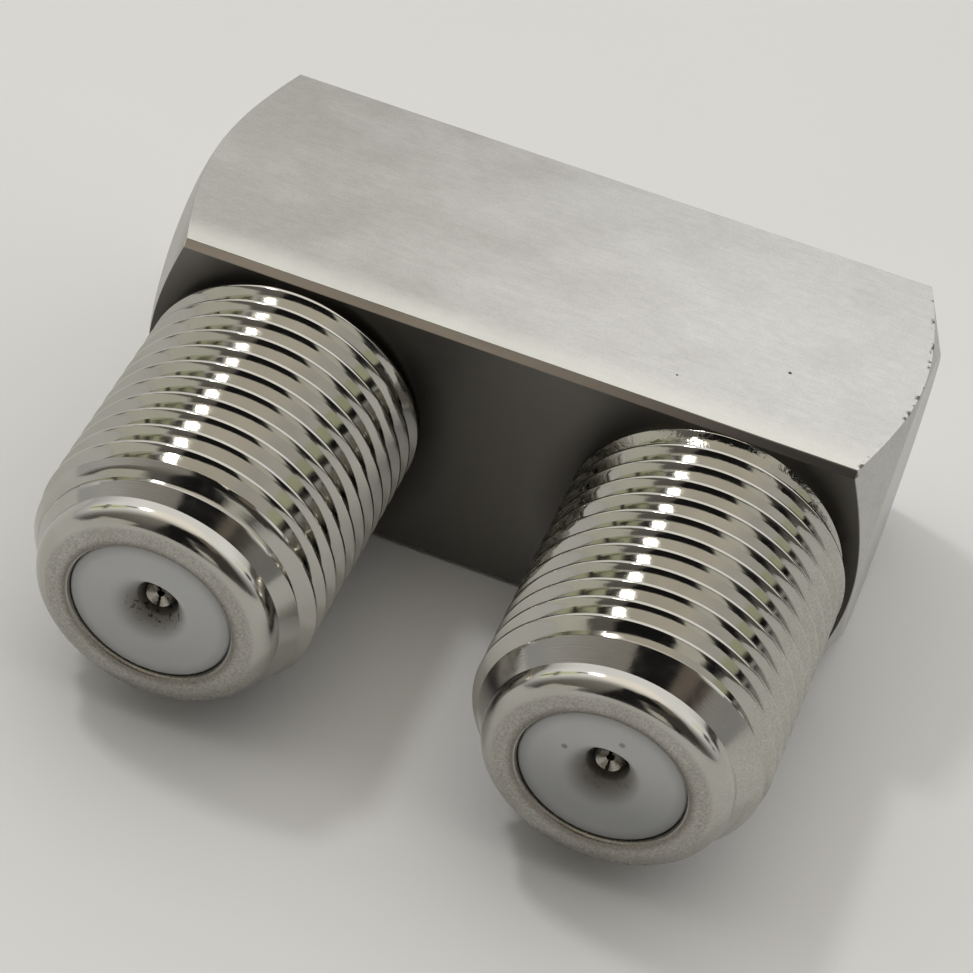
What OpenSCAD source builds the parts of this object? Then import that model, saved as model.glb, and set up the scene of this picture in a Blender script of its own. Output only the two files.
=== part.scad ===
// U-shaped coaxial adapter: two threaded F jacks stand side by side on one square bar.
// +Z is up, +X runs along the bar, and the jacks point towards -Y.
// The origin is on the surface that the bar lies on, under the middle of the whole part.

/* [Bar] */
// Height and depth of the square bar
bar_side = 10; // [9.8:0.1:14]
// Distance from each jack's axis to the nearer end of the bar
end_margin = 4.95; // [4.75:0.05:8]
// Width of the small bevel along each long edge
edge_bevel = 0.22; // [0.1:0.02:0.6]
// Radius of the flat disc left on each turned end
end_disc_r = 4.9; // [4:0.1:4.9]
// Fall of the turned end along X for each millimetre of radius
end_slope = 0.5; // [0.1:0.05:1]

/* [Jacks] */
// Distance between the axes of the two jacks
jack_spacing = 14.7; // [11:0.1:30]
// Length of a jack from the bar's front face to its nose
jack_length = 10.9; // [9:0.1:16]
// Diameter of the plain pilot in front of the thread
pilot_d = 7.96; // [7.6:0.02:8.4]
// Outer diameter of the flat face on the nose
face_d = 6.5; // [6.2:0.1:7.2]
// Depth of the rounded edge between the flat face and the pilot
nose_round = 0.65; // [0.2:0.05:0.8]
// Distance from the nose to the end of the pilot
pilot_length = 0.85; // [0.8:0.05:1.4]
// Distance from the nose to the full thread diameter
nose_length = 1.9; // [1.6:0.1:3]
// Diameter of the mouth that shows the front insulator
mouth_d = 5.35; // [4.6:0.05:5.8]
// Thickness of the lip round the mouth
mouth_lip = 1.1; // [0.8:0.1:2]
// Diameter of the bore behind the lip
bore_d = 6.2; // [6:0.1:7]
// Diameter of the spigot that is pressed into the bar
spigot_d = 8.2; // [7.6:0.1:8.8]
// Length of the spigot
spigot_length = 1.3; // [0.8:0.1:1.4]

/* [Threads] */
// Outside diameter of the thread
thread_d = 9.5; // [9.2:0.05:9.7]
// Length of one turn of the thread
thread_pitch = 0.79375; // [0.6:0.00125:0.9]
// Angle between the two flanks of the thread
thread_angle = 60; // [55:1:65]
// Flat left on the crest, as a share of the pitch
crest_share = 0.125; // [0.08:0.005:0.2]
// Flat left at the root, as a share of the pitch
root_share = 0.165; // [0.12:0.005:0.25]
// Distance from the bar to the first crest on top of the left jack
left_crest_from_bar = 0.355; // [0:0.005:0.8]
// Distance from the bar to the first crest on top of the right jack
right_crest_from_bar = 0.77; // [0:0.005:0.8]

/* [Front insulators] */
// Depth of the insulator's face below the nose
face_recess = 0.14; // [0.02:0.02:0.3]
// Thickness of the flange held behind the lip
flange_t = 1.6; // [1:0.1:3]
// Diameter of the funnel at the face
funnel_d = 2.5; // [1.8:0.1:3]
// Depth of the funnel
funnel_depth = 0.6; // [0.2:0.05:0.8]
// Diameter of the hole that leads to the contact
guide_d = 1.38; // [1.36:0.02:1.7]

/* [Rear insulators] */
// Thickness of the disc that carries the back of the contact
rear_disc_t = 2; // [1.2:0.1:3]
// Diameter of the passage from the bar's front hole to its long bore
passage_d = 5.2; // [4:0.1:5.8]

/* [Contacts] */
// Outside diameter of the contact tube
contact_d = 2.2; // [2:0.05:2.6]
// Diameter of the tube's narrow tip
tip_d = 1.34; // [1.26:0.02:1.34]
// Length of the narrow tip
tip_length = 0.85; // [0.4:0.05:1.2]
// Distance from the nose to the contact's tip
tip_setback = 1.15; // [1:0.05:1.3]
// Diameter of the bore that takes a centre conductor
socket_d = 1.04; // [1.02:0.01:1.1]
// Depth of that bore
socket_depth = 7.5; // [6:0.1:8]
// Width of the saw cut that parts the two tines
slot_w = 0.2; // [0.1:0.02:0.3]
// Length of the saw cut
slot_length = 4.5; // [3:0.1:6]
// Diameter of the solid tail that reaches into the bar
tail_d = 1.8; // [1.6:0.05:1.9]
// Length of tail past the axis of the link rod
tail_overhang = 1.1; // [0.8:0.1:1.6]

/* [Link] */
// Diameter of the long bore in the bar
long_bore_d = 6.4; // [6:0.1:6.6]
// Thickness of metal left at the closed end of the long bore
end_wall = 1.8; // [1.6:0.1:2.2]
// Diameter of the rod that joins the two contacts
rod_d = 0.8; // [0.6:0.05:0.9]
// Length of rod past the axis of each contact
rod_overhang = 1.6; // [1.2:0.1:2.2]
// Clearance between each end of the insulating sleeve and a contact's tail
sleeve_gap = 0.2; // [0.1:0.05:0.5]
// Diameter of the plug in the open end of the long bore
plug_d = 7; // [6.8:0.1:7.2]
// Thickness of the plug
plug_t = 1; // [0.6:0.1:1.2]

/* [Fits] */
// Radial clearance between pieces that are pressed together
press_gap = 0.01; // [0.005:0.005:0.03]

/* [Hidden] */
$fn = 96;
left = -1;
right = 1;
overcut = 1;
nickel = [0.74, 0.73, 0.7];
white_plastic = [0.86, 0.87, 0.88];
bronze = [0.8, 0.72, 0.55];
tin = [0.78, 0.78, 0.76];
bar_length = jack_spacing + 2 * end_margin;
front_y = (jack_length - bar_side) / 2;
axis_z = bar_side / 2;
link_y = front_y + bar_side / 2;
nose_y = front_y - jack_length;
spigot_end_y = front_y + spigot_length;
turning_r = bar_side;
turning_drop = (turning_r - end_disc_r) * end_slope;
long_bore_end_x = bar_length / 2 - end_wall;
shell_length = jack_length + spigot_length;
flank_run = thread_pitch * (1 - crest_share - root_share) / 2;
root_r = thread_d / 2 - flank_run / tan(thread_angle / 2);
chamfer_slope = (thread_d / 2 - pilot_d / 2) / (nose_length - pilot_length);
blank_margin = 0.5;
thread_steps = 48;
contact_shoulder = shell_length - rear_disc_t;
contact_end = jack_length + bar_side / 2 + tail_overhang;
rod_hole_at = jack_length + bar_side / 2;

// Places a turned piece on a jack's axis, with its own +Z pointing from the nose into the bar
module on_jack(side) {
    translate([side * jack_spacing / 2, nose_y, axis_z]) rotate([-90, 0, 0]) children();
}

// Places a turned piece on the bar's long axis, with its own +Z pointing along +X
module on_bar_axis() {
    translate([0, link_y, axis_z]) rotate([0, 90, 0]) children();
}

// A plain or stepped bore from one distance to another along the piece's own Z
module bore(d, from, to) {
    translate([0, 0, from]) cylinder(d = d, h = to - from);
}

module square_bar_blank() {
    half = bar_side / 2;
    inner = half - edge_bevel;
    translate([0, 0, -bar_length / 2])
        linear_extrude(bar_length)
            polygon([[half, inner], [inner, half], [-inner, half], [-half, inner],
                     [-half, -inner], [-inner, -half], [inner, -half], [half, -inner]]);
}

module turned_end_limits() {
    half = bar_length / 2;
    rotate_extrude()
        polygon([[0, -half], [end_disc_r, -half], [turning_r, -half + turning_drop],
                 [turning_r, half - turning_drop], [end_disc_r, half], [0, half]]);
}

module housing_block() {
    color(nickel) difference() {
        on_bar_axis() intersection() {
            square_bar_blank();
            turned_end_limits();
        }
        on_bar_axis() bore(long_bore_d, -bar_length / 2 - overcut, long_bore_end_x);
        on_bar_axis() bore(plug_d, -bar_length / 2 - overcut, -bar_length / 2 + plug_t);
        for (side = [left, right]) on_jack(side) {
            bore(spigot_d + 2 * press_gap, jack_length - overcut, shell_length);
            bore(passage_d, jack_length - overcut, rod_hole_at);
        }
    }
}

module end_plug() {
    color(nickel) on_bar_axis()
        bore(plug_d - 2 * press_gap, -bar_length / 2, -bar_length / 2 + plug_t);
}

module link_rod() {
    reach = jack_spacing / 2 + rod_overhang;
    color(tin) on_bar_axis() bore(rod_d, -reach, reach);
}

module link_sleeve() {
    reach = jack_spacing / 2 - tail_d / 2 - sleeve_gap;
    color(white_plastic) on_bar_axis() difference() {
        bore(long_bore_d - 2 * press_gap, -reach, reach);
        bore(rod_d + 2 * press_gap, -reach - overcut, reach + overcut);
    }
}

// A solid rod with a right-hand thread, longer at both ends than the shell. Each row of points
// follows one corner of the thread round the rod. After a full turn it is one pitch further on,
// where it meets the row that started one turn later.
module threaded_rod(top_crest_z) {
    corners = [[-crest_share * thread_pitch / 2, thread_d / 2],
               [crest_share * thread_pitch / 2, thread_d / 2],
               [crest_share * thread_pitch / 2 + flank_run, root_r],
               [thread_pitch - crest_share * thread_pitch / 2 - flank_run, root_r]];
    corner_count = len(corners);
    turns_below = ceil(top_crest_z / thread_pitch) + 2;
    turns = turns_below + ceil((shell_length - top_crest_z) / thread_pitch) + 2;
    first_z = top_crest_z - turns_below * thread_pitch;
    rows = [for (turn = [0:turns], corner = corners) corner + [turn * thread_pitch, 0]];
    last = len(rows) - 1;
    sides = [for (step = [0:thread_steps - 1], row = rows)
        let (angle = 360 * step / thread_steps - 90)
        [row[1] * cos(angle), row[1] * sin(angle),
         first_z + row[0] + thread_pitch * step / thread_steps]];
    end_centres = [[0, 0, first_z], [0, 0, first_z + turns * thread_pitch]];
    function at(step, row) = step < thread_steps ? step * len(rows) + row : row + corner_count;
    first_loop = concat([for (step = [0:thread_steps - 1]) at(step, 0)],
                        [for (row = [corner_count:-1:1]) at(0, row)]);
    last_loop = concat([for (step = [0:thread_steps - 1]) at(step, last)],
                       [for (row = [last - 1:-1:last - corner_count])
                           at(thread_steps - 1, row)]);
    loop_length = len(first_loop);
    polyhedron(concat(sides, end_centres), concat(
        [for (step = [0:thread_steps - 1],
              row = [0:last - 1 - (step == thread_steps - 1 ? corner_count : 0)])
            each [[at(step, row), at(step, row + 1), at(step + 1, row + 1)],
                  [at(step, row), at(step + 1, row + 1), at(step + 1, row)]]],
        [for (i = [0:loop_length - 1])
            [len(sides), first_loop[i], first_loop[(i + 1) % loop_length]]],
        [for (i = [0:loop_length - 1])
            [len(sides) + 1, last_loop[(i + 1) % loop_length], last_loop[i]]]));
}

// The turned outside of a shell: the nose, room for the thread and the spigot. It is wider than
// the thread, so that only the chamfer and the bar's front face end the thread.
module shell_blank() {
    pilot_r = pilot_d / 2;
    face_r = face_d / 2;
    wide_r = thread_d / 2 + blank_margin;
    wide_from = pilot_length + (wide_r - pilot_r) / chamfer_slope;
    round_steps = 6;
    rounded_edge = [for (i = [0:round_steps])
        [face_r + (pilot_r - face_r) * sin(90 * i / round_steps),
         nose_round * (1 - cos(90 * i / round_steps))]];
    rotate_extrude()
        polygon(concat([[0, 0]], rounded_edge,
            [[pilot_r, pilot_length], [wide_r, wide_from], [wide_r, jack_length],
             [spigot_d / 2, jack_length], [spigot_d / 2, shell_length], [0, shell_length]]));
}

module jack_shell(side, crest_from_bar) {
    color(nickel) on_jack(side) difference() {
        intersection() {
            threaded_rod(jack_length - crest_from_bar);
            shell_blank();
        }
        bore(mouth_d, -overcut, mouth_lip + overcut);
        bore(bore_d, mouth_lip, shell_length + overcut);
    }
}

module front_insulator(side) {
    back = mouth_lip + flange_t;
    color(white_plastic) on_jack(side) difference() {
        union() {
            bore(mouth_d - 2 * press_gap, face_recess, back);
            bore(bore_d - 2 * press_gap, mouth_lip, back);
        }
        translate([0, 0, face_recess])
            cylinder(d1 = funnel_d, d2 = guide_d, h = funnel_depth);
        bore(guide_d, face_recess - overcut, back + overcut);
        bore(contact_d + 2 * press_gap, tip_setback + tip_length, back + overcut);
    }
}

module rear_insulator(side) {
    color(white_plastic) on_jack(side) difference() {
        bore(bore_d - 2 * press_gap, contact_shoulder, shell_length);
        bore(tail_d + 2 * press_gap, contact_shoulder - overcut, shell_length + overcut);
    }
}

module contact(side) {
    color(bronze) on_jack(side) difference() {
        union() {
            bore(tip_d, tip_setback, tip_setback + tip_length);
            bore(contact_d, tip_setback + tip_length, contact_shoulder);
            bore(tail_d, contact_shoulder, contact_end);
        }
        bore(socket_d, tip_setback - overcut, tip_setback + socket_depth);
        translate([-slot_w / 2, -contact_d, tip_setback - overcut])
            cube([slot_w, 2 * contact_d, slot_length + overcut]);
        translate([0, 0, rod_hole_at]) rotate([0, 90, 0])
            cylinder(d = rod_d + 2 * press_gap, h = 2 * contact_d, center = true);
    }
}

module left_jack_shell() { jack_shell(left, left_crest_from_bar); }
module right_jack_shell() { jack_shell(right, right_crest_from_bar); }
module left_front_insulator() { front_insulator(left); }
module right_front_insulator() { front_insulator(right); }
module left_rear_insulator() { rear_insulator(left); }
module right_rear_insulator() { rear_insulator(right); }
module left_contact() { contact(left); }
module right_contact() { contact(right); }

housing_block();
end_plug();
link_rod();
link_sleeve();
left_jack_shell();
right_jack_shell();
left_front_insulator();
right_front_insulator();
left_rear_insulator();
right_rear_insulator();
left_contact();
right_contact();
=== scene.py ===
"""Looks of a U-shaped coaxial adapter: a square nickel-plated bar with two threaded F jacks.

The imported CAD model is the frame. Lengths are in millimetres unless a name or a comment says
metres. +Z is up, +X runs along the bar and the jacks point towards -Y. A jack's own coordinates
are the depth behind its nose, the radius from its axis and the angle from +X towards +Z.
"""

import math

import bmesh
import bpy
import numpy as np
from mathutils import Matrix, Vector


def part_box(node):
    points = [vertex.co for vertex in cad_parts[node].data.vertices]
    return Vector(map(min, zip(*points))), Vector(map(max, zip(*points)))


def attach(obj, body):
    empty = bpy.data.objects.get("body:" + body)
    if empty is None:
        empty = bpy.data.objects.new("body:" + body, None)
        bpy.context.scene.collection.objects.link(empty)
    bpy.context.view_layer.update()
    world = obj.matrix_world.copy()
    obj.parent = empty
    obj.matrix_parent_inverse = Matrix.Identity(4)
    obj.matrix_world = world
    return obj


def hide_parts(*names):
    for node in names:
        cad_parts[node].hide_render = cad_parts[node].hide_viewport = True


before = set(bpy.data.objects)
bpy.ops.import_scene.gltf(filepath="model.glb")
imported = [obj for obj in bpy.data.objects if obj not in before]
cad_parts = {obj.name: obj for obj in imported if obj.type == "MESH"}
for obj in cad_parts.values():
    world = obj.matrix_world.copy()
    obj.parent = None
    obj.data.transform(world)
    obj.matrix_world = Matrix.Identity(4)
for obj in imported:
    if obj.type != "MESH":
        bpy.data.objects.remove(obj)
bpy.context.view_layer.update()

MM = 0.001
FULL_TURN = 2 * math.pi

# ---------------------------------------------------------------- camera
CAMERA_AZIMUTH = math.radians(12.34)
CAMERA_ELEVATION = math.radians(44.80)
CAMERA_ROLL = math.radians(10.75)
CAMERA_DISTANCE = 102.18
CAMERA_LENS = 116.3
SENSOR_WIDTH = 36
CLIP_START_M = 0.001
AIM_HEIGHT = 4.54


def camera_direction():
    """Unit vector from the object towards the camera."""
    flat = math.cos(CAMERA_ELEVATION)
    return Vector((math.sin(CAMERA_AZIMUTH) * flat, -math.cos(CAMERA_AZIMUTH) * flat,
                   math.sin(CAMERA_ELEVATION)))


def make_camera():
    data = bpy.data.cameras.new("camera")
    data.lens = CAMERA_LENS
    data.sensor_width = SENSOR_WIDTH
    data.clip_start = CLIP_START_M
    camera = bpy.data.objects.new("camera", data)
    bpy.context.scene.collection.objects.link(camera)
    back = camera_direction()
    aim = Vector((0, 0, AIM_HEIGHT * MM))
    level = back.to_track_quat("Z", "Y").to_matrix()
    roll = level @ Matrix.Rotation(CAMERA_ROLL, 3, "Z") @ level.inverted()
    camera.matrix_world = (roll @ level).to_4x4()
    camera.location = aim + back * CAMERA_DISTANCE * MM
    bpy.context.scene.camera = camera


# ---------------------------------------------------------------- sizes shared with the CAD
# The nose: mouth, flat face, round, pilot, and the cone up to the thread
MOUTH_R = 5.35 / 2
MOUTH_LIP = 1.1
FACE_R = 6.5 / 2
NOSE_ROUND = 0.65
PILOT_R = 7.96 / 2
PILOT_END = 0.85
NOSE_END = 1.9
# The bore behind the mouth, and the spigot that is pressed into the bar
BORE_R = 6.2 / 2
SPIGOT_R = 8.2 / 2
# The front insulator, with a funnel and a guide hole for a cable's centre wire
FACE_RECESS = 0.14
FLANGE_T = 1.6
FUNNEL_R = 2.5 / 2
FUNNEL_DEPTH = 0.6
GUIDE_R = 1.38 / 2
PRESS_GAP = 0.01
# The contact, with a narrower tip
CONTACT_R = 2.2 / 2
TIP_SETBACK = 1.15
TIP_LENGTH = 0.85
# The bar: its bevelled long edges, the flat disc at each end, and how far the cone round that
# disc falls back for each unit of radius
EDGE_BEVEL = 0.22
END_DISC_R = 4.9
END_SLOPE = 0.5

# ---------------------------------------------------------------- details only the scene has
MERGE_DISTANCE = 0.0005
MOUTH_EDGE_ROUND = 0.2
NOSE_STEPS = 14
SPIGOT_CHAMFER = 0.1
INSULATOR_SEGMENTS = 160
RIM_ROUND = 0.12
LIP_ROUND = 0.22
THROAT_ROUND = 0.05
BAR_EDGE_BREAK = 0.035
# The tines close by a share of their radius, and bend over this length behind the tip
TINE_BEND = 2.4
TINE_CLOSING = 0.28
TINE_CUTS = 14
FIRST_CUT = 0.06
# The tip is drawn out, and its end is rounded off by a share of its radius over a length
TIP_DRAWN_OUT = 0.33
TIP_ROUND_OFF = 0.12
TIP_ROUND_LENGTH = 0.12
# Inside BORE_WALL_R the tip's bore is narrowed by a share of its radius, and countersunk
BORE_WALL_R = 0.6
BORE_NARROWING = 0.6
BORE_NARROW_LENGTH = 0.5
COUNTERSINK = 0.16
COUNTERSINK_LENGTH = 0.3

# ---------------------------------------------------------------- thread, 3/8-32 UNEF
PITCH = 25.4 / 32
# In pitches: half the flat crest, half the flat root, and the reach of the crest's round edges
CREST_HALF = 1 / 16
ROOT_HALF = 1 / 12
EDGE_SOFTNESS = 0.02
# Rise of a flank for each unit along the axis, as the thread angle is 60 degrees
FLANK_RISE = math.tan(math.radians(60))
FLANK_STEPS = 5
TURN_SEGMENTS = 240
# Distance of the first crest from the bar's face, straight above each jack's axis
FIRST_CREST = {"left": 0.355, "right": 0.77}


class Jack:
    """Place and lengths of one jack, read from the frame."""

    def __init__(self, side):
        self.side = side
        low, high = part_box(side + "_jack_shell")
        bar_low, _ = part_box("housing_block")
        self.axis_x = (low.x + high.x) / 2 / MM
        self.axis_z = (low.z + high.z) / 2 / MM
        self.nose_y = low.y / MM
        self.thread_r = (high.x - low.x) / 2 / MM
        self.length = (bar_low.y - low.y) / MM
        self.spigot_end = (high.y - low.y) / MM

    def points(self, depth, radius, angle):
        """Points in metres from arrays of depth, radius and angle."""
        return np.stack([(self.axis_x + radius * np.cos(angle)) * MM,
                         (self.nose_y + depth) * MM,
                         (self.axis_z + radius * np.sin(angle)) * MM], axis=-1)


LEFT = Jack("left")
RIGHT = Jack("right")


# ---------------------------------------------------------------- mesh helpers
def smooth(mesh, sharp_degrees):
    """Smooth shading, apart from edges that turn by more than an angle."""
    mesh.shade_smooth()
    mesh.set_sharp_from_angle(angle=math.radians(sharp_degrees))


def new_piece(name, vertices, faces, sharp_degrees):
    """An object from points in metres, with points that coincide merged."""
    mesh = bpy.data.meshes.new(name)
    mesh.from_pydata([tuple(v) for v in vertices], [], faces)
    work = bmesh.new()
    work.from_mesh(mesh)
    bmesh.ops.remove_doubles(work, verts=work.verts, dist=MERGE_DISTANCE * MM)
    bmesh.ops.dissolve_degenerate(work, edges=work.edges, dist=MERGE_DISTANCE * MM)
    bmesh.ops.recalc_face_normals(work, faces=work.faces)
    work.to_mesh(mesh)
    work.free()
    smooth(mesh, sharp_degrees)
    piece = bpy.data.objects.new(name, mesh)
    bpy.context.scene.collection.objects.link(piece)
    return piece


def rounded_corner(start, corner, end, radius, steps=4):
    """Points of a small round that replaces a corner of a profile."""
    first = np.array(start, float) - corner
    last = np.array(end, float) - corner
    first *= radius / np.linalg.norm(first)
    last *= radius / np.linalg.norm(last)
    return [tuple(corner + first * (1 - t) ** 2 + last * t ** 2)
            for t in np.linspace(0, 1, steps + 1)]


def revolve(name, jack, profile, sharp_degrees):
    """Solid of revolution round a jack's axis, from a closed profile of (depth, radius)."""
    segments = INSULATOR_SEGMENTS
    angles = np.arange(segments) * FULL_TURN / segments
    rings = [jack.points(np.full(segments, depth), np.full(segments, radius), angles)
             for depth, radius in profile]
    faces = []
    for ring in range(len(profile)):
        after = (ring + 1) % len(profile)
        for i in range(segments):
            j = (i + 1) % segments
            faces.append((ring * segments + i, ring * segments + j,
                          after * segments + j, after * segments + i))
    return new_piece(name, np.concatenate(rings), faces, sharp_degrees)


# ---------------------------------------------------------------- threaded shells
def body_radius(jack, depth):
    """Radius of the turned blank before the thread is cut."""
    slope = (jack.thread_r - PILOT_R) / (NOSE_END - PILOT_END)
    return np.minimum(jack.thread_r, PILOT_R + np.maximum(depth - PILOT_END, 0) * slope)


def thread_drop(phase):
    """Depth of the thread below its crest, in pitches, at a phase counted from the crest."""
    away = np.abs((phase + 0.5) % 1 - 0.5)
    flank = np.clip(away, CREST_HALF, 0.5 - ROOT_HALF) - CREST_HALF
    # A parabola rounds the crest's edge, and meets both the crest and the flank without a corner
    into_edge = np.clip(away - CREST_HALF + EDGE_SOFTNESS, 0, 2 * EDGE_SOFTNESS)
    rounded = into_edge ** 2 / (4 * EDGE_SOFTNESS)
    return np.maximum(flank, rounded) * FLANK_RISE


def thread_phases():
    """Phases of the rows that follow the helix, so that each edge of the thread is a row."""
    flank = np.linspace(CREST_HALF + EDGE_SOFTNESS, 0.5 - ROOT_HALF, FLANK_STEPS + 1)
    half = [CREST_HALF - EDGE_SOFTNESS, CREST_HALF, *flank]
    return [-phase for phase in reversed(half)] + half + [0.5]


def threaded_rows(jack):
    """Rows of the outside from the pilot to the bar, each an array of depth and of radius."""
    start, stop = PILOT_END, jack.length
    crest_depth = jack.length - FIRST_CREST[jack.side]
    angles = np.arange(TURN_SEGMENTS) * FULL_TURN / TURN_SEGMENTS
    advance = -PITCH * (angles - FULL_TURN / 4) / FULL_TURN
    first_turn = math.floor((start - crest_depth) / PITCH) - 1
    last_turn = math.ceil((stop - crest_depth) / PITCH) + 2
    rows = []
    for turn in range(first_turn, last_turn + 1):
        for phase in thread_phases():
            depth = np.clip(crest_depth + (turn + phase) * PITCH + advance, start, stop)
            clipped_phase = (depth - crest_depth - advance) / PITCH
            cut = jack.thread_r - thread_drop(clipped_phase) * PITCH
            rows.append((depth, np.minimum(body_radius(jack, depth), cut)))
    return rows


def make_shell(jack):
    """One turned shell: threaded outside, spigot, bore, mouth and rounded nose."""
    segments = TURN_SEGMENTS
    angles = np.arange(segments) * FULL_TURN / segments
    vertices = []
    faces = []

    def add_ring(depth, radius):
        """Adds a ring of points, and gives the number of its first point."""
        vertices.append(jack.points(np.broadcast_to(depth, (segments,)),
                                    np.broadcast_to(radius, (segments,)), angles))
        return (len(vertices) - 1) * segments

    def join(a, b):
        """Adds the faces between two rings."""
        for i in range(segments):
            j = (i + 1) % segments
            faces.append((a + i, a + j, b + j, b + i))

    row_start = [add_ring(depth, radius) for depth, radius in threaded_rows(jack)]
    # With a right-hand helix the last column meets the column that starts one turn earlier
    per_turn = len(thread_phases())
    last_row = len(row_start) - 1
    last = segments - 1
    for row in range(last_row):
        here, after = row_start[row], row_start[row + 1]
        for i in range(last):
            faces.append((here + i, here + i + 1, after + i + 1, after + i))
        faces.append((here + last, row_start[max(row - per_turn, 0)],
                      row_start[max(row + 1 - per_turn, 0)], after + last))
    for row in range(last_row - per_turn, last_row):
        faces.append((row_start[last_row] + last, row_start[row], row_start[row + 1]))

    rear = [(jack.length, SPIGOT_R), (jack.spigot_end - SPIGOT_CHAMFER, SPIGOT_R),
            (jack.spigot_end, SPIGOT_R - SPIGOT_CHAMFER), (jack.spigot_end, BORE_R),
            (MOUTH_LIP, BORE_R), (MOUTH_LIP, MOUTH_R)]
    mouth_edge = rounded_corner((MOUTH_LIP, MOUTH_R), (0, MOUTH_R), (0, FACE_R),
                                MOUTH_EDGE_ROUND)
    nose = [(NOSE_ROUND * (1 - math.cos(t)), FACE_R + (PILOT_R - FACE_R) * math.sin(t))
            for t in np.linspace(0, math.pi / 2, NOSE_STEPS + 1)]
    rings = [row_start[last_row]]
    rings += [add_ring(depth, radius) for depth, radius in rear + mouth_edge + nose]
    rings.append(row_start[0])
    for a, b in zip(rings, rings[1:]):
        join(a, b)
    shell = new_piece(jack.side + "_threaded_shell", np.concatenate(vertices), faces,
                      sharp_degrees=25)
    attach(shell, "root")
    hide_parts(jack.side + "_jack_shell")
    return shell


# ---------------------------------------------------------------- insulators and contacts
def make_front_insulator(jack):
    """The white face with its funnel and guide hole, and the flange behind it."""
    outer_r = MOUTH_R - PRESS_GAP
    flange_r = BORE_R - PRESS_GAP
    seat_r = CONTACT_R + PRESS_GAP
    seat_depth = TIP_SETBACK + TIP_LENGTH
    back = MOUTH_LIP + FLANGE_T
    funnel_edge = (FACE_RECESS, FUNNEL_R)
    funnel_end = (FACE_RECESS + FUNNEL_DEPTH, GUIDE_R)
    rim = rounded_corner((back, outer_r), (FACE_RECESS, outer_r), (FACE_RECESS, 0), RIM_ROUND)
    lip = rounded_corner((FACE_RECESS, outer_r), funnel_edge, funnel_end, LIP_ROUND, steps=8)
    throat = rounded_corner(funnel_edge, funnel_end, (back, GUIDE_R), THROAT_ROUND)
    profile = ([(back, flange_r), (MOUTH_LIP, flange_r), (MOUTH_LIP, outer_r)] + rim + lip + throat
               + [(seat_depth, GUIDE_R), (seat_depth, seat_r), (back, seat_r)])
    piece = revolve(jack.side + "_insulator_face", jack, profile, sharp_degrees=40)
    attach(piece, "root")
    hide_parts(jack.side + "_front_insulator")
    return piece


def fade(depth, length):
    """One at the tip, falling evenly to zero at a length behind it."""
    return max(0, 1 - depth / length)


def make_contact(jack):
    """The CAD contact with its tines sprung together and its tip countersunk and drawn out."""
    work = bmesh.new()
    work.from_mesh(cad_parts[jack.side + "_contact"].data)
    bmesh.ops.remove_doubles(work, verts=work.verts, dist=MERGE_DISTANCE * MM)
    axis_x, axis_z = jack.axis_x * MM, jack.axis_z * MM
    tip_y = (jack.nose_y + TIP_SETBACK) * MM
    for depth in np.linspace(FIRST_CUT, TINE_BEND, TINE_CUTS):
        geometry = work.verts[:] + work.edges[:] + work.faces[:]
        bmesh.ops.bisect_plane(work, geom=geometry, dist=1e-9,
                               plane_co=(0, tip_y + depth * MM, 0), plane_no=(0, 1, 0))
    for vertex in work.verts:
        depth = (vertex.co.y - tip_y) / MM
        if depth >= TINE_BEND:
            continue
        scale = (1 - TINE_CLOSING * fade(depth, TINE_BEND) ** 2
                 - TIP_ROUND_OFF * fade(depth, TIP_ROUND_LENGTH) ** 2)
        radius = math.hypot(vertex.co.x - axis_x, vertex.co.z - axis_z) / MM
        if radius < BORE_WALL_R:
            scale *= 1 - BORE_NARROWING * fade(depth, BORE_NARROW_LENGTH)
            vertex.co.y += COUNTERSINK * fade(depth, COUNTERSINK_LENGTH) * MM
        vertex.co.x = axis_x + (vertex.co.x - axis_x) * scale
        vertex.co.z = axis_z + (vertex.co.z - axis_z) * scale
        vertex.co.y -= TIP_DRAWN_OUT * fade(depth, TIP_LENGTH) * MM
    mesh = bpy.data.meshes.new(jack.side + "_contact_tines")
    work.to_mesh(mesh)
    work.free()
    smooth(mesh, sharp_degrees=30)
    piece = bpy.data.objects.new(jack.side + "_contact_tines", mesh)
    bpy.context.scene.collection.objects.link(piece)
    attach(piece, "root")
    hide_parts(jack.side + "_contact")
    return piece


# ---------------------------------------------------------------- bar
def make_bar():
    """The CAD bar with its sharp edges slightly broken."""
    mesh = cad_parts["housing_block"].data.copy()
    work = bmesh.new()
    work.from_mesh(mesh)
    bmesh.ops.remove_doubles(work, verts=work.verts, dist=MERGE_DISTANCE * MM)
    bmesh.ops.dissolve_limit(work, angle_limit=math.radians(0.5), verts=work.verts,
                             edges=work.edges)
    work.to_mesh(mesh)
    work.free()
    bar = bpy.data.objects.new("bar_body", mesh)
    bpy.context.scene.collection.objects.link(bar)
    bevel = bar.modifiers.new("broken_edges", "BEVEL")
    bevel.width = BAR_EDGE_BREAK * MM
    bevel.segments = 3
    bevel.limit_method = "ANGLE"
    bevel.angle_limit = math.radians(20)
    bevel.use_clamp_overlap = True
    smooth(mesh, sharp_degrees=20)
    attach(bar, "root")
    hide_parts("housing_block")
    return bar


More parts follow.
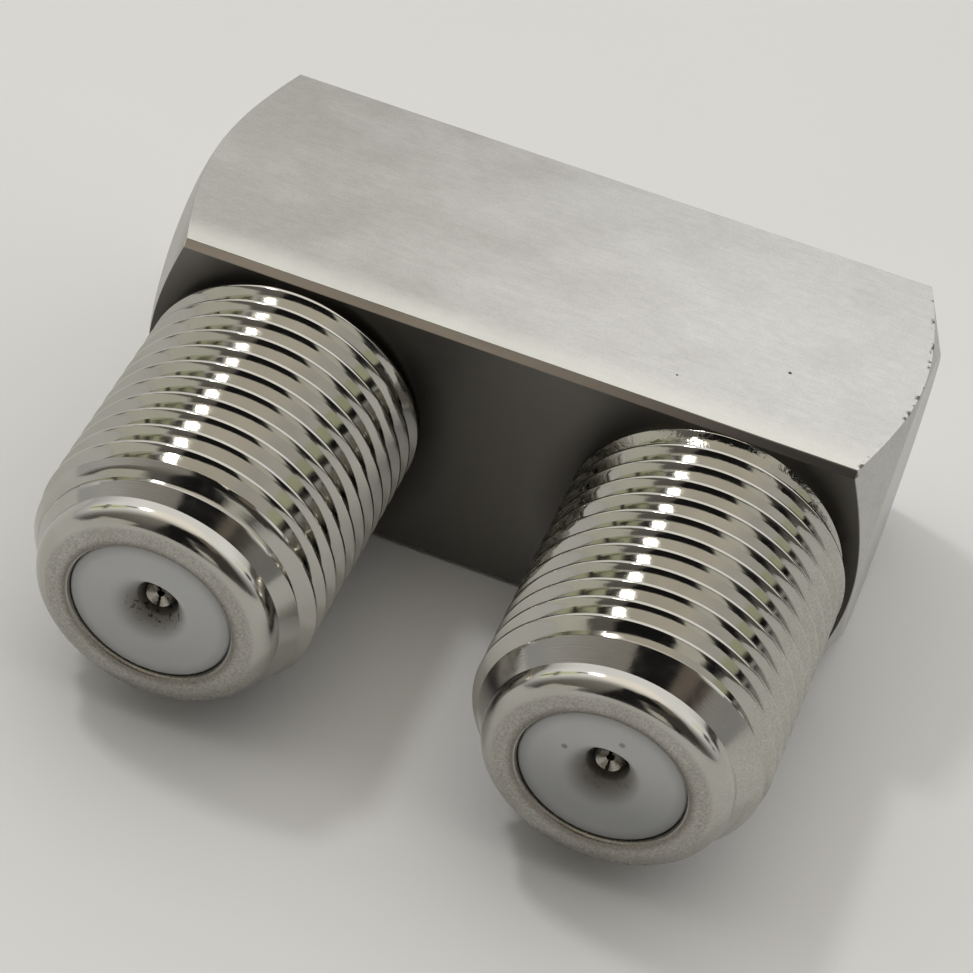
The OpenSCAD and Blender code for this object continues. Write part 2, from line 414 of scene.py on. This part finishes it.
# ---------------------------------------------------------------- node helpers
class Nodes:
    """Short calls for building a shader tree. Scales are given for each millimetre."""

    def __init__(self, tree):
        self.tree = tree
        tree.nodes.clear()

    def add(self, kind, **values):
        node = self.tree.nodes.new(kind)
        for key, value in values.items():
            setattr(node, key, value)
        return node

    def link(self, source, target):
        self.tree.links.new(source, target)

    def feed(self, socket, value):
        """Gives a socket a link, a number, or a colour of red, green and blue."""
        if isinstance(value, bpy.types.NodeSocket):
            self.link(value, socket)
        elif isinstance(value, tuple):
            socket.default_value = (*value, 1)
        else:
            socket.default_value = value

    def math(self, operation, a, b=0.0):
        node = self.add("ShaderNodeMath", operation=operation)
        self.feed(node.inputs[0], a)
        self.feed(node.inputs[1], b)
        return node.outputs[0]

    def stretch(self, value, low, high, to_low=0.0, to_high=1.0):
        """Maps low..high smoothly to to_low..to_high."""
        node = self.add("ShaderNodeMapRange", interpolation_type="SMOOTHSTEP")
        self.feed(node.inputs["Value"], value)
        node.inputs["From Min"].default_value = low
        node.inputs["From Max"].default_value = high
        node.inputs["To Min"].default_value = to_low
        node.inputs["To Max"].default_value = to_high
        return node.outputs["Result"]

    def mix(self, factor, a, b, blend="MIX"):
        node = self.add("ShaderNodeMix", data_type="RGBA", blend_type=blend)
        self.feed(node.inputs[0], factor)
        self.feed(node.inputs[6], a)
        self.feed(node.inputs[7], b)
        return node.outputs[2]

    def tint(self, colour, factor):
        """Multiplies a colour by a grey factor."""
        grey = self.add("ShaderNodeCombineColor")
        for socket in grey.inputs:
            self.link(factor, socket)
        return self.mix(1.0, colour, grey.outputs[0], blend="MULTIPLY")

    def both(self, *masks):
        """The product of masks."""
        result = masks[0]
        for mask in masks[1:]:
            result = self.math("MULTIPLY", result, mask)
        return result

    def distance(self, a, b):
        """Length of the vector (a, b)."""
        squares = self.math("ADD", self.math("MULTIPLY", a, a), self.math("MULTIPLY", b, b))
        return self.math("SQRT", squares)

    def place(self, per_mm=(1, 1, 1)):
        """Object coordinates scaled so that one unit is one feature."""
        coordinates = self.add("ShaderNodeTexCoord")
        mapping = self.add("ShaderNodeMapping")
        mapping.inputs["Scale"].default_value = [s / MM for s in per_mm]
        self.link(coordinates.outputs["Object"], mapping.inputs["Vector"])
        return mapping.outputs["Vector"]

    def axes(self):
        """The X, Y and Z sockets of a point in millimetres."""
        split = self.add("ShaderNodeSeparateXYZ")
        self.link(self.place(), split.inputs[0])
        return split.outputs

    def noise(self, per_mm, detail=3):
        node = self.add("ShaderNodeTexNoise")
        node.inputs["Scale"].default_value = 1
        node.inputs["Detail"].default_value = detail
        node.inputs["Roughness"].default_value = 0.55
        self.link(self.place(per_mm), node.inputs["Vector"])
        return node.outputs["Fac"]

    def rings(self, value, per_mm, detail):
        """Noise that changes with one value only, for marks left by a turning tool."""
        node = self.add("ShaderNodeTexNoise", noise_dimensions="1D")
        node.inputs["Scale"].default_value = per_mm
        node.inputs["Detail"].default_value = detail
        self.link(value, node.inputs["W"])
        return node.outputs["Fac"]

    def bump(self, *layers):
        """Normal of a surface raised by layers of (height, depth in millimetres)."""
        total = 0.0
        for height, depth_mm in layers:
            total = self.math("ADD", self.math("MULTIPLY", height, depth_mm), total)
        node = self.add("ShaderNodeBump")
        node.inputs["Strength"].default_value = 1
        node.inputs["Distance"].default_value = MM
        self.link(total, node.inputs["Height"])
        return node.outputs["Normal"]


def new_material(name, build):
    material = bpy.data.materials.new(name)
    material.use_nodes = True
    nodes = Nodes(material.node_tree)
    output = nodes.add("ShaderNodeOutputMaterial")
    shader = nodes.add("ShaderNodeBsdfPrincipled")
    nodes.link(shader.outputs["BSDF"], output.inputs["Surface"])
    build(nodes, shader.inputs)
    return material


def give(piece, material):
    piece.data.materials.clear()
    piece.data.materials.append(material)
    for polygon in piece.data.polygons:
        polygon.material_index = 0


# ---------------------------------------------------------------- materials
BAR_LOW, BAR_HIGH = (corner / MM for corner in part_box("housing_block"))
BAR_AXIS_Y = (BAR_LOW.y + BAR_HIGH.y) / 2
BAR_AXIS_Z = (BAR_LOW.z + BAR_HIGH.z) / 2
# A mask for a flat face fades out between these distances from the face
FACE_NEAR = 0.02
FACE_FAR = 0.06
# Small dark pits in the bar's top face: X, Y and radius
TOP_PITS = [(8.15, 3.91, 0.08), (4.91, 2.09, 0.05)]
# Small grey marks on the right insulator's face: X and Z
FACE_MARKS = [(6.05, 5.77), (7.72, 6.69)]

# Painted shade for the darker left of the bar
SHADED_LEFT_NICKEL = (0.34, 0.33, 0.31)
SATIN_NICKEL = (0.53, 0.525, 0.505)
LEFT_END_NICKEL = (0.50, 0.49, 0.465)
# Painted highlight along the front edge of the bar's top face
PAINTED_SHEEN_NICKEL = (0.66, 0.66, 0.60)
# Painted shade for the bar's front face
SHADED_FRONT_NICKEL = (0.19, 0.182, 0.168)
BROWNED_NICKEL = (0.66, 0.58, 0.50)
BLACKENED_NICKEL = (0.15, 0.14, 0.135)
CHIPPED_NICKEL = (0.12, 0.115, 0.105)
PIT_BLACK = (0.06, 0.055, 0.05)
# Near black: painted shade round the barrels on the bar's front face, and dirt flecks on the
# insulators
GRIME_AND_SHADE = (0.05, 0.045, 0.04)
BRIGHT_NICKEL = ((0.43, 0.418, 0.387), (0.515, 0.503, 0.467))
NOSE_NICKEL = ((0.35, 0.337, 0.31), (0.44, 0.428, 0.40))
MOUTH_BROWN = (0.20, 0.18, 0.15)
FACE_WHITE = ((0.51, 0.52, 0.525), (0.585, 0.595, 0.605))
FACE_STAIN = (0.20, 0.175, 0.15)
MARK_GREY = (0.16, 0.15, 0.15)
INNER_WHITE = ((0.72, 0.72, 0.7), (0.82, 0.82, 0.8))
BRONZE = ((0.24, 0.22, 0.19), (0.50, 0.475, 0.43))
TIN = ((0.62, 0.62, 0.6), (0.74, 0.74, 0.72))
PAPER = ((0.68, 0.68, 0.68), (0.71, 0.71, 0.71))


def jack_places(nodes):
    """Depth behind the nose and distance from the nearer jack's axis."""
    along, across, up = nodes.axes()
    sideways = nodes.math("SUBTRACT", nodes.math("ABSOLUTE", along), RIGHT.axis_x)
    upwards = nodes.math("SUBTRACT", up, RIGHT.axis_z)
    depth = nodes.math("SUBTRACT", across, RIGHT.nose_y)
    return depth, nodes.distance(sideways, upwards)


def bar_wear(nodes, tone, on_top):
    """Chips along the top face's right rim, and pits in the top face."""
    along, across, up = nodes.axes()
    radius = nodes.distance(nodes.math("SUBTRACT", across, BAR_AXIS_Y),
                            nodes.math("SUBTRACT", up, BAR_AXIS_Z))
    cone = nodes.math("ADD", along, nodes.math("MULTIPLY", radius, END_SLOPE))
    cone_at = BAR_HIGH.x + END_DISC_R * END_SLOPE
    near_rim = nodes.both(on_top, nodes.stretch(cone, cone_at - 0.16, cone_at - 0.03))
    chips = nodes.both(near_rim, nodes.stretch(nodes.noise((2.6, 2.6, 2.6)), 0.57, 0.61))
    tone = nodes.mix(chips, tone, CHIPPED_NICKEL)
    for pit_x, pit_y, pit_r in TOP_PITS:
        away = nodes.distance(nodes.math("SUBTRACT", along, pit_x),
                              nodes.math("SUBTRACT", across, pit_y))
        pit = nodes.both(on_top, nodes.stretch(away, pit_r * 0.5, pit_r, 1.0, 0.0))
        tone = nodes.mix(pit, tone, PIT_BLACK)
    return tone


def bar_nickel(nodes, inputs):
    """Satin plate over a brushed bar: painted shade on the left, on the front and round the jacks,
    a painted highlight at the top's front edge, chipped at the right.
    """
    brushing = nodes.noise((0.5, 15, 15), detail=2)
    clouds = nodes.noise((0.35, 0.5, 0.5), detail=2)
    mottle = nodes.noise((2.2, 3.8, 3.8))
    grain = nodes.noise((12, 12, 12), detail=1)
    along, across, up = nodes.axes()
    _, from_jack = jack_places(nodes)
    on_top = nodes.stretch(up, BAR_HIGH.z - FACE_FAR, BAR_HIGH.z - FACE_NEAR)
    off_top = nodes.stretch(up, BAR_HIGH.z - FACE_FAR, BAR_HIGH.z - FACE_NEAR, 1.0, 0.0)
    on_front = nodes.stretch(across, BAR_LOW.y + FACE_NEAR, BAR_LOW.y + FACE_FAR, 1.0, 0.0)
    bevel_y = BAR_LOW.y + EDGE_BEVEL
    bevel_z = BAR_HIGH.z - EDGE_BEVEL
    on_bevel = nodes.both(nodes.stretch(across, bevel_y - 0.05, bevel_y + 0.01, 1.0, 0.0),
                          nodes.stretch(up, bevel_z - 0.03, bevel_z + 0.02))

    # The tone is painted darker towards the left as painted shade, with cloudy tone that differs at
    # random mixed in.
    uneven = nodes.math("MULTIPLY", nodes.math("SUBTRACT", clouds, 0.5), 0.8)
    bright = nodes.math("ADD", nodes.stretch(along, -12, 9), uneven)
    tone = nodes.mix(bright, SHADED_LEFT_NICKEL, SATIN_NICKEL)
    # Painted shade darkens the bar towards its back face.
    tone = nodes.tint(tone, nodes.stretch(across, BAR_AXIS_Y, BAR_HIGH.y, 1.0, 0.93))
    tone = nodes.tint(tone, nodes.stretch(brushing, 0.3, 0.7, 0.965, 1.03))
    tone = nodes.tint(tone, nodes.stretch(mottle, 0.3, 0.7, 0.965, 1.025))
    tone = nodes.tint(tone, nodes.stretch(grain, 0.3, 0.7, 0.965, 1.035))

    left_end = nodes.stretch(along, BAR_LOW.x + 0.4, BAR_LOW.x + 1.2, 1.0, 0.0)
    tone = nodes.mix(nodes.both(left_end, off_top), tone, LEFT_END_NICKEL)
    # A painted highlight lightens a strip of the top face along its front edge.
    front_sheen = nodes.stretch(across, BAR_LOW.y + 0.3, BAR_LOW.y + 1.5, 0.5, 0.0)
    tone = nodes.mix(nodes.both(on_top, front_sheen), tone, PAINTED_SHEEN_NICKEL)
    # Painted shade makes the whole front face dark.
    tone = nodes.mix(on_front, tone, SHADED_FRONT_NICKEL)
    # Painted shade darkens the front face in a band round each barrel.
    barrel_r = RIGHT.thread_r
    barrel_shade = nodes.stretch(from_jack, barrel_r - 0.15, barrel_r + 1.45, 0.7, 0.0)
    tone = nodes.mix(nodes.both(on_front, barrel_shade), tone, GRIME_AND_SHADE)
    browned = nodes.mix(nodes.stretch(along, 0, 10), BROWNED_NICKEL, BLACKENED_NICKEL)
    tone = nodes.mix(on_bevel, tone, browned)
    nodes.feed(inputs["Base Color"], bar_wear(nodes, tone, on_top))
    inputs["Metallic"].default_value = 1

    rough = nodes.math("ADD", nodes.math("MULTIPLY", brushing, 0.14), 0.29)
    nodes.feed(inputs["Roughness"], nodes.math("ADD", rough, nodes.math("MULTIPLY", clouds, 0.08)))
    nodes.feed(inputs["Normal"], nodes.bump((brushing, 0.0019), (grain, 0.0018)))


def jack_nickel(nodes, inputs):
    """Bright plate on a turned and threaded surface, grainy at the nose and the right side."""
    depth, radius = jack_places(nodes)
    along, _, up = nodes.axes()
    clouds = nodes.noise((0.8, 0.8, 0.8), detail=1)
    grain = nodes.noise((14, 14, 14), detail=1)
    lower_half = nodes.stretch(up, RIGHT.axis_z - 2.4, RIGHT.axis_z + 0.4, 1.0, 0.0)
    on_nose = nodes.math("MAXIMUM", nodes.stretch(depth, 0.005, 0.05, 1.0, 0.0),
                         nodes.both(lower_half, nodes.stretch(depth, 0.05, 0.6, 1.0, 0.0)))
    before_thread = nodes.stretch(depth, NOSE_END - 0.2, NOSE_END + 0.2, 1.0, 0.0)
    right_side = nodes.stretch(along, RIGHT.axis_x + 3.1, RIGHT.axis_x + 3.9, 0.0, 0.6)
    grainy = nodes.math("MAXIMUM", on_nose, right_side)

    tone = nodes.mix(clouds, *BRIGHT_NICKEL)
    tone = nodes.mix(on_nose, tone, nodes.mix(clouds, *NOSE_NICKEL))
    mouth_rim = nodes.stretch(radius, MOUTH_R + 0.085, MOUTH_R + 0.385, 0.9, 0.0)
    mouth = nodes.both(on_nose, mouth_rim)
    tone = nodes.mix(mouth, tone, MOUTH_BROWN)
    speckle = nodes.math("MULTIPLY", nodes.math("SUBTRACT", grain, 0.5), grainy)
    tone = nodes.tint(tone, nodes.math("ADD", nodes.math("MULTIPLY", speckle, 0.9), 1.0))
    nodes.feed(inputs["Base Color"], tone)
    inputs["Metallic"].default_value = 1

    smear = nodes.noise((2.5, 2.5, 2.5), detail=2)
    rough = nodes.stretch(smear, 0.3, 0.75, 0.05, 0.11)
    rough = nodes.math("ADD", rough, nodes.math("MULTIPLY", before_thread, 0.05))
    nodes.feed(inputs["Roughness"], nodes.math("ADD", rough, nodes.math("MULTIPLY", grainy, 0.16)))

    turning = nodes.rings(nodes.math("ADD", depth, radius), 18, detail=2)
    on_right = nodes.stretch(along, -1, 1)
    first_turns = nodes.stretch(depth, RIGHT.length - 1.1, RIGHT.length - 0.3)
    torn = nodes.both(nodes.noise((6, 9, 6), detail=2), first_turns, on_right)
    ripple = nodes.noise((3.5, 6, 3.5), detail=2)
    nodes.feed(inputs["Normal"], nodes.bump((nodes.both(turning, before_thread), 0.0009),
                                            (nodes.both(grain, grainy), 0.0016),
                                            (torn, 0.008), (ripple, 0.0012)))


def white_plastic(nodes, inputs):
    """Moulded white insulator, stained round the hole, with painted shade towards the bottom and at
    the rim.
    """
    along, _, up = nodes.axes()
    _, radius = jack_places(nodes)
    height = nodes.math("SUBTRACT", up, RIGHT.axis_z)
    dirt = nodes.noise((0.9, 0.9, 0.9), detail=4)
    clean = nodes.mix(dirt, *FACE_WHITE)
    # Painted shade: each face is darker towards the bottom, the right one more so.
    shaded_left_face = nodes.tint(clean, nodes.stretch(height, -2.4, 1.6, 0.86, 1.05))
    shaded_right_face = nodes.tint(clean, nodes.stretch(height, -1.8, 1.8, 0.62, 1.04))
    tone = nodes.mix(nodes.stretch(along, -1, 1), shaded_left_face, shaded_right_face)
    # Painted shade darkens the face towards its rim, where it sits recessed in the mouth.
    tone = nodes.tint(tone, nodes.stretch(radius, 2.2, MOUTH_R, 1.0, 0.72))
    stain = nodes.both(nodes.stretch(radius, GUIDE_R, FUNNEL_R, 0.85, 0.0),
                       nodes.stretch(height, -0.7, 0.9, 1.0, 0.15))
    tone = nodes.mix(stain, tone, FACE_STAIN)
    flecks = nodes.both(nodes.stretch(nodes.noise((6, 6, 6), detail=4), 0.56, 0.6),
                        nodes.stretch(radius, 0.8, 1.05, 1.0, 0.0),
                        nodes.stretch(height, -0.2, 0.2, 1.0, 0.0),
                        nodes.stretch(along, -1, 1, 1.0, 0.25))
    tone = nodes.mix(flecks, tone, GRIME_AND_SHADE)
    for mark_x, mark_z in FACE_MARKS:
        away = nodes.distance(nodes.math("SUBTRACT", along, mark_x),
                              nodes.math("SUBTRACT", up, mark_z))
        tone = nodes.mix(nodes.stretch(away, 0.05, 0.14, 0.7, 0.0), tone, MARK_GREY)
    nodes.feed(inputs["Base Color"], tone)
    nodes.feed(inputs["Roughness"], nodes.stretch(dirt, 0.3, 0.7, 0.42, 0.55))
    nodes.feed(inputs["Normal"], nodes.bump((nodes.noise((8, 8, 8), detail=2), 0.004)))


def inner_plastic(nodes, inputs):
    """Plain white plastic inside the bar."""
    nodes.feed(inputs["Base Color"], nodes.mix(nodes.noise((1, 1, 1)), *INNER_WHITE))
    inputs["Roughness"].default_value = 0.5


def contact_metal(nodes, inputs):
    """Plated spring bronze."""
    nodes.feed(inputs["Base Color"], nodes.mix(nodes.noise((4, 4, 4)), *BRONZE))
    inputs["Metallic"].default_value = 1
    nodes.feed(inputs["Roughness"], nodes.stretch(nodes.noise((8, 8, 8)), 0.3, 0.7, 0.15, 0.35))
    nodes.feed(inputs["Normal"], nodes.bump((nodes.noise((7, 4, 7), detail=2), 0.012)))


def tinned_wire(nodes, inputs):
    """Drawn wire with a tin coat."""
    nodes.feed(inputs["Base Color"], nodes.mix(nodes.noise((3, 3, 3)), *TIN))
    inputs["Metallic"].default_value = 1
    inputs["Roughness"].default_value = 0.35


def floor_paper(nodes, inputs):
    """Pale matt paper."""
    nodes.feed(inputs["Base Color"], nodes.mix(nodes.noise((0.05, 0.05, 0.05)), *PAPER))
    inputs["Roughness"].default_value = 0.9
    inputs["Specular IOR Level"].default_value = 0.1


# ---------------------------------------------------------------- floor and light
FLOOR_HALF_M = 1.2
LAMP_DIRECTION = Vector((-0.46, 0.215, 0.86)).normalized()
LAMP_DISTANCE_M = 0.6
LAMP_SIDE_M = 0.065
LAMP_RADIANCE = 45

# Radiance of the bare room behind the object and on the camera's side, low down and high up
BACK_LOW = (0.62, 0.62, 0.61)
BACK_HIGH = (1.22, 1.21, 1.19)
OVERHEAD = (1.42, 1.35, 1.22)
FRONT_LOW = (0.13, 0.123, 0.11)
FRONT_HIGH = (0.31, 0.29, 0.255)

# Things in the room that the plating mirrors. Azimuth is in degrees from -Y towards +X as
# seen from above, elevation in degrees above the floor, then width, height and radiance.
LEAF_GREEN = (1.02, 1.07, 0.77)
CREAM = (0.66, 0.65, 0.56)
SHADE = (0.07, 0.065, 0.055)
BLACK = (0.012, 0.012, 0.012)
BROWN = (0.21, 0.175, 0.14)
ROOM_THINGS = [
    ("light wall", -38, 4, 26, 20, CREAM),
    ("photographer", -3, 14, 24, 60, BLACK),
    ("camera", 13, 54, 54, 28, BLACK),
    ("brown cupboard", 52, 50, 24, 34, BROWN),
    ("dark furniture", 36, 24, 44, 34, SHADE),
    ("lit doorway", 15, 12, 11, 16, CREAM),
    ("chair", 25, 6, 7, 10, BLACK),
    ("left window", -97, 32, 24, 32, LEAF_GREEN),
    ("left window post", -98, 32, 3.5, 32, SHADE),
    ("left window bar", -97, 29, 24, 3.5, SHADE),
    ("left shelf", -107, 49, 7, 10, SHADE),
    ("right window", 103, 29, 14, 13, LEAF_GREEN),
    ("right shelf", 99, 19, 14, 8, BLACK),
    ("right plinth", 96, 10, 8, 4, BLACK),
    ("dark corner", 137, 4, 44, 18, SHADE),
]
# Degrees over which a thing's edge fades, on each side of the edge
THING_EDGE = 1.2
# Ranges of azimuth that hold all the things, so that a ray works out only those in its own range
ROOM_SIDES = [(-60, 68), (-118, -78), (84, 162)]


def make_floor():
    half = FLOOR_HALF_M
    mesh = bpy.data.meshes.new("floor")
    mesh.from_pydata([(-half, -half, 0), (half, -half, 0), (half, half, 0), (-half, half, 0)],
                     [], [(0, 1, 2, 3)])
    floor = bpy.data.objects.new("floor", mesh)
    bpy.context.scene.collection.objects.link(floor)
    give(floor, new_material("floor_paper", floor_paper))


def make_lamp():
    """A small square lamp at the ceiling that faces the object."""
    data = bpy.data.lights.new("ceiling_lamp", "AREA")
    data.size = LAMP_SIDE_M
    data.energy = LAMP_RADIANCE * math.pi * LAMP_SIDE_M ** 2
    lamp = bpy.data.objects.new("ceiling_lamp", data)
    bpy.context.scene.collection.objects.link(lamp)
    lamp.location = LAMP_DIRECTION * LAMP_DISTANCE_M
    lamp.rotation_euler = LAMP_DIRECTION.to_track_quat("Z", "Y").to_euler()


def make_world():
    """A room with a bright ceiling behind the object and a darker side towards the camera."""
    world = bpy.data.worlds.new("room")
    bpy.context.scene.world = world
    world.use_nodes = True
    nodes = Nodes(world.node_tree)
    output = nodes.add("ShaderNodeOutputWorld")
    split = nodes.add("ShaderNodeSeparateXYZ")
    nodes.link(nodes.add("ShaderNodeTexCoord").outputs["Generated"], split.inputs[0])
    x, y, z = split.outputs
    to_front = nodes.math("MULTIPLY", y, -1.0)
    azimuth = nodes.math("MULTIPLY", nodes.math("ARCTAN2", x, to_front), math.degrees(1))
    elevation = nodes.math("MULTIPLY", nodes.math("ARCSINE", z), math.degrees(1))

    back = nodes.mix(nodes.stretch(z, 0.0, 0.6), BACK_LOW, BACK_HIGH)
    back = nodes.mix(nodes.stretch(z, 0.8, 0.95), back, OVERHEAD)
    front = nodes.mix(nodes.stretch(z, 0.0, 0.9), FRONT_LOW, FRONT_HIGH)
    bare_room = nodes.mix(nodes.stretch(y, -0.55, 0.05), front, back)

    def away_from(value, centre):
        return nodes.math("ABSOLUTE", nodes.math("SUBTRACT", value, float(centre)))

    def band(value, centre, width):
        """One inside a range of degrees and nothing outside it."""
        away = away_from(value, centre)
        return nodes.stretch(away, width / 2 - THING_EDGE, width / 2 + THING_EDGE, 1.0, 0.0)

    def painted(things):
        """The room as a background, with these things in it."""
        room = bare_room
        for _, thing_azimuth, thing_elevation, width, height, colour in things:
            mask = nodes.both(band(azimuth, thing_azimuth, width),
                              band(elevation, thing_elevation, height))
            room = nodes.mix(mask, room, colour)
        background = nodes.add("ShaderNodeBackground")
        nodes.link(room, background.inputs["Color"])
        return background.outputs[0]

    surroundings = painted([])
    for low, high in ROOM_SIDES:
        inside = nodes.math("LESS_THAN", away_from(azimuth, (low + high) / 2), (high - low) / 2)
        things = [thing for thing in ROOM_THINGS if low < thing[1] < high]
        choice = nodes.add("ShaderNodeMixShader")
        nodes.link(inside, choice.inputs[0])
        nodes.link(surroundings, choice.inputs[1])
        nodes.link(painted(things), choice.inputs[2])
        surroundings = choice.outputs[0]
    nodes.link(surroundings, output.inputs[0])


# ---------------------------------------------------------------- build
make_camera()
make_floor()
make_world()
make_lamp()
bpy.context.scene.view_settings.view_transform = "Standard"

plated_bar = new_material("bar_nickel", bar_nickel)
plated_jack = new_material("jack_nickel", jack_nickel)
plastic_face = new_material("white_plastic", white_plastic)
plastic_inner = new_material("inner_plastic", inner_plastic)
bronze = new_material("contact_metal", contact_metal)
wire = new_material("tinned_wire", tinned_wire)

give(make_bar(), plated_bar)
give(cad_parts["end_plug"], plated_bar)
for jack in (LEFT, RIGHT):
    give(make_shell(jack), plated_jack)
    give(make_front_insulator(jack), plastic_face)
    give(make_contact(jack), bronze)
    give(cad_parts[jack.side + "_rear_insulator"], plastic_inner)
give(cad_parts["link_sleeve"], plastic_inner)
give(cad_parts["link_rod"], wire)
